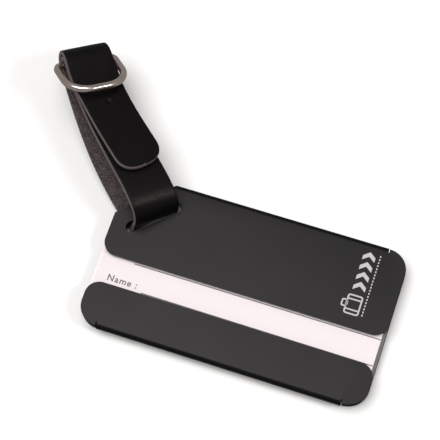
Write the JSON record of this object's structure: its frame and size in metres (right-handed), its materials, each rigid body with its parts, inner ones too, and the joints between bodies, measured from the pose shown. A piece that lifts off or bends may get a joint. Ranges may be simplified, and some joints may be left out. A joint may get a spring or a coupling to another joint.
{
  "type": "luggage tag",
  "caption": "Folded sheet-metal name-card holder with a window, on an adjustable leather strap loop that passes through a D-shaped metal ring.",
  "frame": {"origin": "centre of the holder's back face", "axes": "+X along the holder's length, the way the card slides out; +Y towards the wide flap's folded edge; +Z out of the window face"},
  "size_m": [0.1089, 0.0764, 0.0212],
  "materials": {
    "anodised_aluminium": "black anodised, satin",
    "card_paper": "matt printed card",
    "clear_film": "clear glossy plastic film",
    "strap_leather": "black, fine grain, satin; suede flesh side",
    "rivet_metal": "polished",
    "ring_metal": "polished champagne plating"
  },
  "bodies": {
    "holder": {"holder": "anodised_aluminium", "strap_bend": "strap_leather"},
    "card": {"name_card": "card_paper"},
    "cover": {"card_cover": "clear_film"},
    "strap": {"strap_front": "strap_leather", "strap_back": "strap_leather", "rivet": "rivet_metal"},
    "ring": {"ring": "ring_metal"},
    "tail": {"strap_tail": "strap_leather"}
  },
  "joints": [
    {"name": "card_slide", "type": "slide", "parent": "holder", "child": "card", "axis": [1, 0, 0], "range_m": [0, 0.08]},
    {"name": "cover_slide", "type": "slide", "parent": "holder", "child": "cover", "axis": [1, 0, 0], "range_m": [0, 0.08]},
    {"name": "strap_swing", "type": "hinge", "parent": "holder", "child": "strap", "pos_m": [-0.03188, 0.01427, 0.0015], "axis": [0.7373, 0.6756, 0], "range_deg": [-70, 80], "deforming": ["strap_bend"]},
    {"name": "ring_swivel", "type": "hinge", "parent": "strap", "child": "ring", "pos_m": [-0.06125, 0.04662, 0.0111], "axis": [-0.7408, -0.5971, 0.3077], "range_deg": [0, 110]},
    {"name": "tail_lift", "type": "hinge", "parent": "strap", "child": "tail", "pos_m": [-0.05198, 0.03741, 0.01373], "axis": [-0.6676, -0.6837, 0.2945], "range_deg": [0, 60]}
  ]
}
